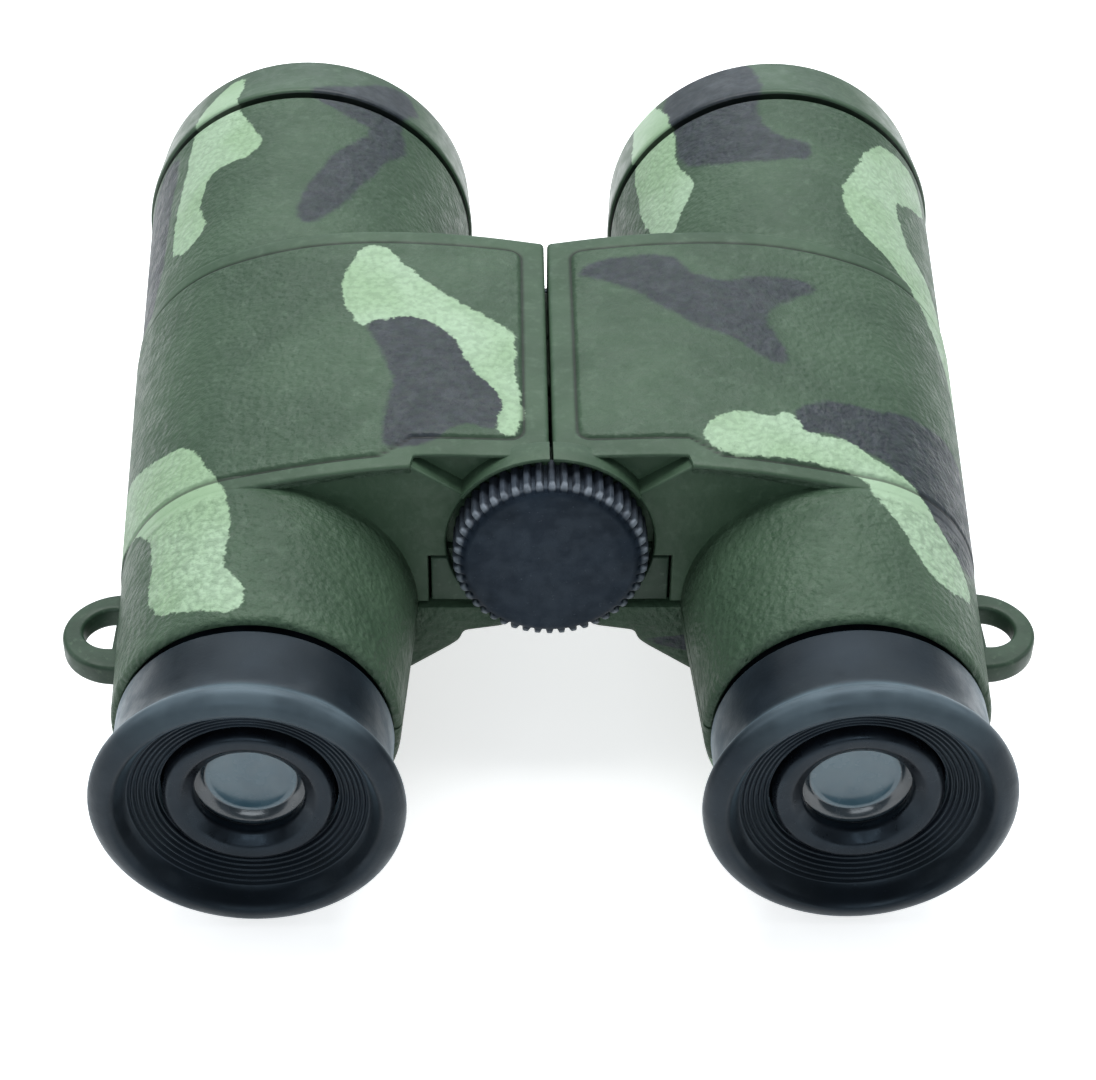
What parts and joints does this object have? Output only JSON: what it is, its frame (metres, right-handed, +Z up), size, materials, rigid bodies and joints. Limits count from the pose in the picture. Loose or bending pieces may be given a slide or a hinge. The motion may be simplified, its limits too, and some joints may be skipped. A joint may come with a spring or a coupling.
{
  "type": "toy binoculars",
  "caption": "Straight-barrelled folding toy binoculars with camouflage finish, knurled centre focus knob, rubber eyecups and side strap lugs.",
  "frame": {"origin": "bottom centre of the object's box: midway between the barrels, midway along the length, at the lowest line of the two front rings", "axes": "+X to the user's right, +Y from the eyecups to the objectives along the barrels, +Z up through the deck"},
  "size_m": [0.1094, 0.1246, 0.045],
  "materials": {
    "camouflage_shell": "fine-grained moulded shell printed in olive, pale green and plum-grey camouflage",
    "camouflage_ring": "smooth satin ring with the same printed camouflage",
    "green_plastic": "plain olive moulded plastic, satin",
    "black_rubber": "smooth black rubber with a soft blue-grey sheen",
    "black_plastic": "matt black moulded plastic",
    "knob_plastic": "fine spark-eroded blue-black plastic, bright worn tooth ends",
    "objective_glass": "clear polished lens",
    "eye_glass": "clear polished lens",
    "zinc_screw": "zinc-plated screw steel",
    "steel": "turned bright steel"
  },
  "bodies": {
    "core": {"hinge_axle": "steel", "hinge_cap": "black_plastic", "focus_nut": "steel"},
    "left_half": {"left_upper_shell": "camouflage_shell", "left_lower_shell": "camouflage_shell", "left_front_ring": "camouflage_ring", "left_strap_lug": "green_plastic", "left_objective_lens": "objective_glass", "left_lens_retainer": "black_plastic", "left_light_baffle": "black_plastic", "left_rear_shell_screw": "zinc_screw", "left_front_shell_screw": "zinc_screw"},
    "right_half": {"right_upper_shell": "camouflage_shell", "right_lower_shell": "camouflage_shell", "right_front_ring": "camouflage_ring", "right_strap_lug": "green_plastic", "right_objective_lens": "objective_glass", "right_lens_retainer": "black_plastic", "right_light_baffle": "black_plastic", "right_rear_shell_screw": "zinc_screw", "right_front_shell_screw": "zinc_screw"},
    "left_eyepiece": {"left_eyepiece_tube": "black_plastic", "left_eyecup": "black_rubber", "left_ocular_ring": "black_plastic", "left_eye_lens": "eye_glass", "left_focus_arm": "green_plastic"},
    "right_eyepiece": {"right_eyepiece_tube": "black_plastic", "right_eyecup": "black_rubber", "right_ocular_ring": "black_plastic", "right_eye_lens": "eye_glass", "right_focus_arm": "green_plastic"},
    "focus_carriage": {"focus_bush": "black_plastic"},
    "focus_knob_body": {"focus_knob": "knob_plastic", "focus_screw": "steel", "retaining_ring": "steel"}
  },
  "joints": [
    {"name": "left_fold", "type": "hinge", "parent": "core", "child": "left_half", "pos_m": [0, 0, 0.0311], "axis": [0, -1, 0], "range_deg": [0, 17]},
    {"name": "right_fold", "type": "hinge", "parent": "core", "child": "right_half", "pos_m": [0, 0, 0.0311], "axis": [0, 1, 0], "range_deg": [0, 17]},
    {"name": "left_eyepiece_slide", "type": "slide", "parent": "left_half", "child": "left_eyepiece", "axis": [0, -1, 0], "range_m": [0, 0.005]},
    {"name": "right_eyepiece_slide", "type": "slide", "parent": "right_half", "child": "right_eyepiece", "axis": [0, -1, 0], "range_m": [0, 0.005]},
    {"name": "carriage_slide", "type": "slide", "parent": "core", "child": "focus_carriage", "axis": [0, -1, 0], "range_m": [0, 0.005]},
    {"name": "focus_turn", "type": "hinge", "parent": "focus_carriage", "child": "focus_knob_body", "pos_m": [0, 0, 0.0311], "axis": [0, -1, 0], "range_deg": [0, 450]}
  ],
  "couplings": [
    {"joint": "right_fold", "follows": "left_fold", "ratio": 1},
    {"joint": "left_eyepiece_slide", "follows": "carriage_slide", "ratio": 1},
    {"joint": "right_eyepiece_slide", "follows": "carriage_slide", "ratio": 1},
    {"joint": "focus_turn", "follows": "carriage_slide", "rad_per_m": 1570.8}
  ]
}
